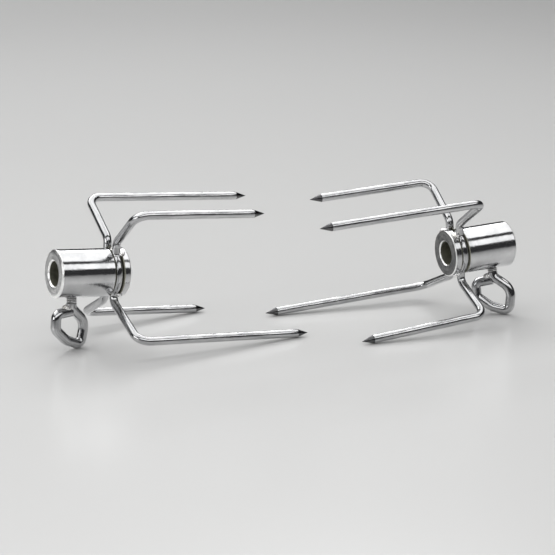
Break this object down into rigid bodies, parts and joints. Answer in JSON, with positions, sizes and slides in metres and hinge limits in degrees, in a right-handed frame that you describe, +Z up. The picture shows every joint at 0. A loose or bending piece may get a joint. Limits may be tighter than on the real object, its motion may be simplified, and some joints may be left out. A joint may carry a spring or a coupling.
{
  "type": "pair of rotisserie spit forks",
  "caption": "Two clamping forks for a rotisserie spit, each a turned hub with bent and welded round-bar prongs and a looped thumbscrew.",
  "frame": {"origin": "centre of the footprint, on the surface the forks lie on", "axes": "+Z up, +X the way fork a's prongs point, +Y to their left"},
  "size_m": [0.2886, 0.1198, 0.083],
  "materials": {
    "turned_steel": "turned and polished",
    "polished_steel": "mirror polished bar",
    "weld_steel": "as welded, lightly polished",
    "thread_steel": "rolled thread"
  },
  "bodies": {
    "fork_a": {"fork_a_hub": "turned_steel", "fork_a_bow_left": "polished_steel", "fork_a_bow_right": "polished_steel", "fork_a_bead_upper_left": "weld_steel", "fork_a_bead_lower_left": "weld_steel", "fork_a_bead_upper_right": "weld_steel", "fork_a_bead_lower_right": "weld_steel"},
    "screw_a": {"fork_a_screw_shank": "thread_steel"},
    "loop_a": {"fork_a_finger_loop": "polished_steel", "fork_a_loop_weld": "weld_steel"},
    "fork_b": {"fork_b_hub": "turned_steel", "fork_b_bow_left": "polished_steel", "fork_b_bow_right": "polished_steel", "fork_b_bead_upper_left": "weld_steel", "fork_b_bead_lower_left": "weld_steel", "fork_b_bead_upper_right": "weld_steel", "fork_b_bead_lower_right": "weld_steel"},
    "screw_b": {"fork_b_screw_shank": "thread_steel"},
    "loop_b": {"fork_b_finger_loop": "polished_steel", "fork_b_loop_weld": "weld_steel"}
  },
  "joints": [
    {"name": "fork_b_lift", "type": "slide", "parent": "fork_a", "child": "fork_b", "axis": [0, 0, 1], "range_m": [0, 0.15]},
    {"name": "screw_a_travel", "type": "slide", "parent": "fork_a", "child": "screw_a", "axis": [0.0837, 0.0632, 0.9945], "range_m": [-0.004, 0.0024]},
    {"name": "loop_a_turn", "type": "hinge", "parent": "screw_a", "child": "loop_a", "pos_m": [-0.12966, 0.01242, 0.02736], "axis": [0.0837, 0.0632, 0.9945], "range_deg": [-1434, 858]},
    {"name": "screw_b_travel", "type": "slide", "parent": "fork_b", "child": "screw_b", "axis": [-0.0488, 0.188, 0.9809], "range_m": [-0.005, 0.0013]},
    {"name": "loop_b_turn", "type": "hinge", "parent": "screw_b", "child": "loop_b", "pos_m": [0.13219, -0.02553, 0.02578], "axis": [-0.0488, 0.188, 0.9809], "range_deg": [-1794, 462]}
  ],
  "couplings": [
    {"joint": "screw_a_travel", "follows": "loop_a_turn", "m_per_rad": 0.00015915},
    {"joint": "screw_b_travel", "follows": "loop_b_turn", "m_per_rad": 0.00015915}
  ]
}
